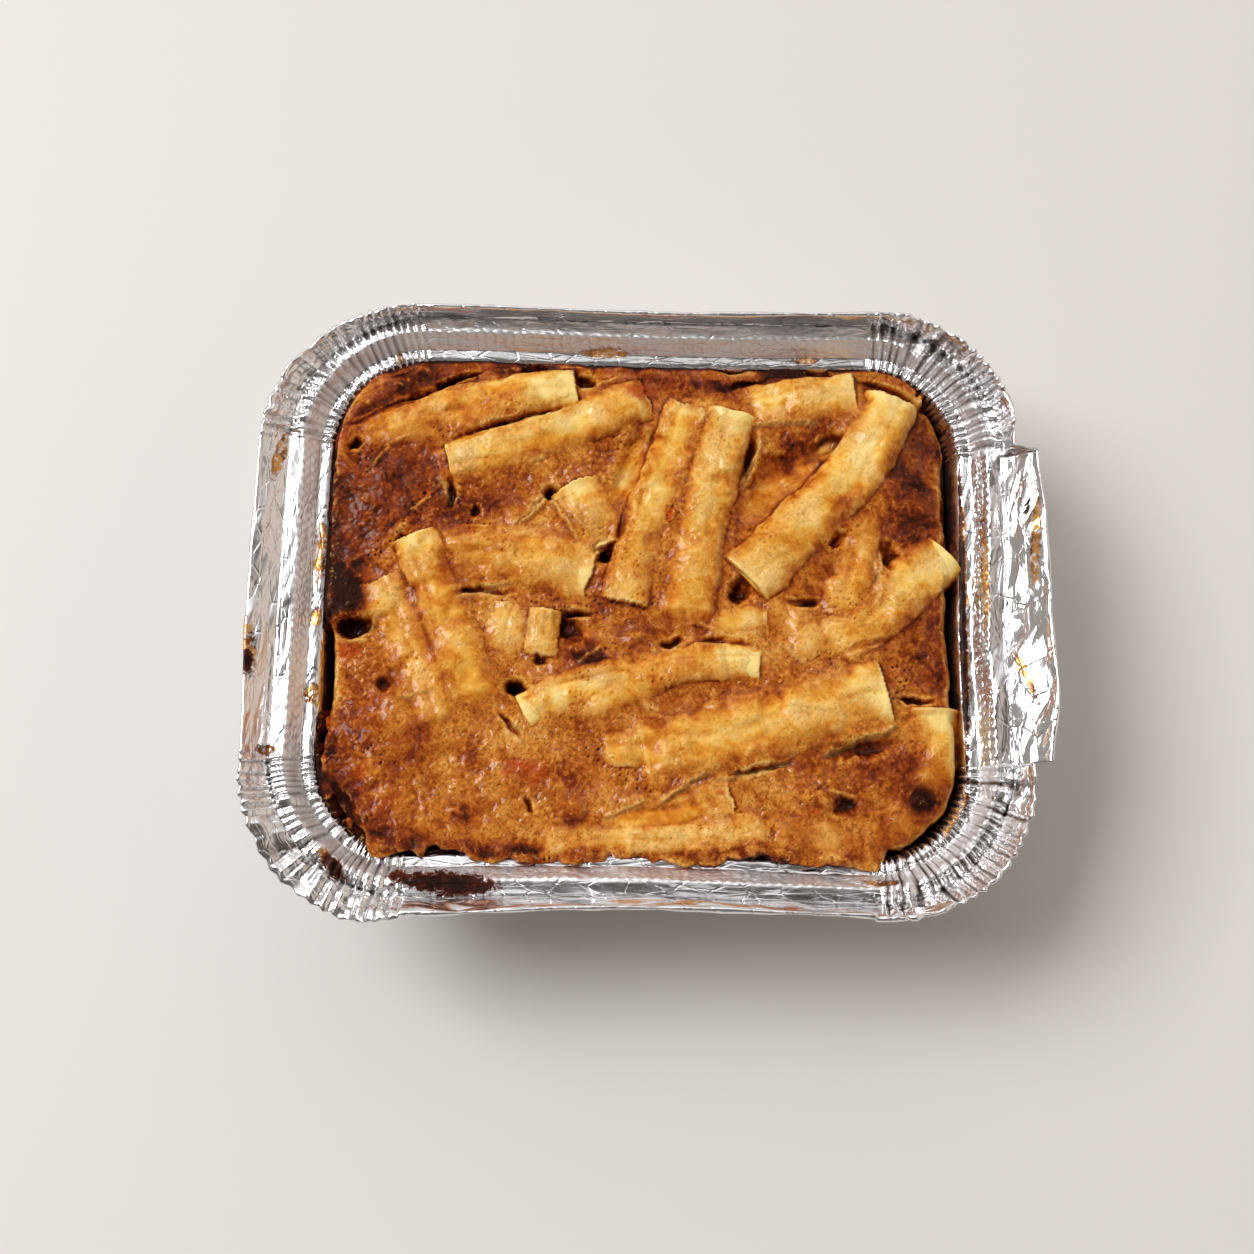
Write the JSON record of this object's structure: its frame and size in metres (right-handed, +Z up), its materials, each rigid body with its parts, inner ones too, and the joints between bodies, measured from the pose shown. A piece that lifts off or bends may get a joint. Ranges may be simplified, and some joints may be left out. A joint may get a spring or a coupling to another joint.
{
  "type": "foil tray meal",
  "caption": "Rectangular foil takeaway tray with pleated corners and a bent lip, filled with baked penne in a browned cheese sauce.",
  "frame": {"origin": "middle of the tray's flat base, on the surface it stands on", "axes": "+X along the tray's long side, +Y towards its back side, +Z up"},
  "size_m": [0.1561, 0.1224, 0.0442],
  "materials": {
    "foil": "bright, pleated and crumpled",
    "bake": "baked cheese crust over pasta, glossy with oil"
  },
  "bodies": {
    "root": {"foil_tray": "foil", "pasta_bake": "bake"}
  },
  "joints": []
}
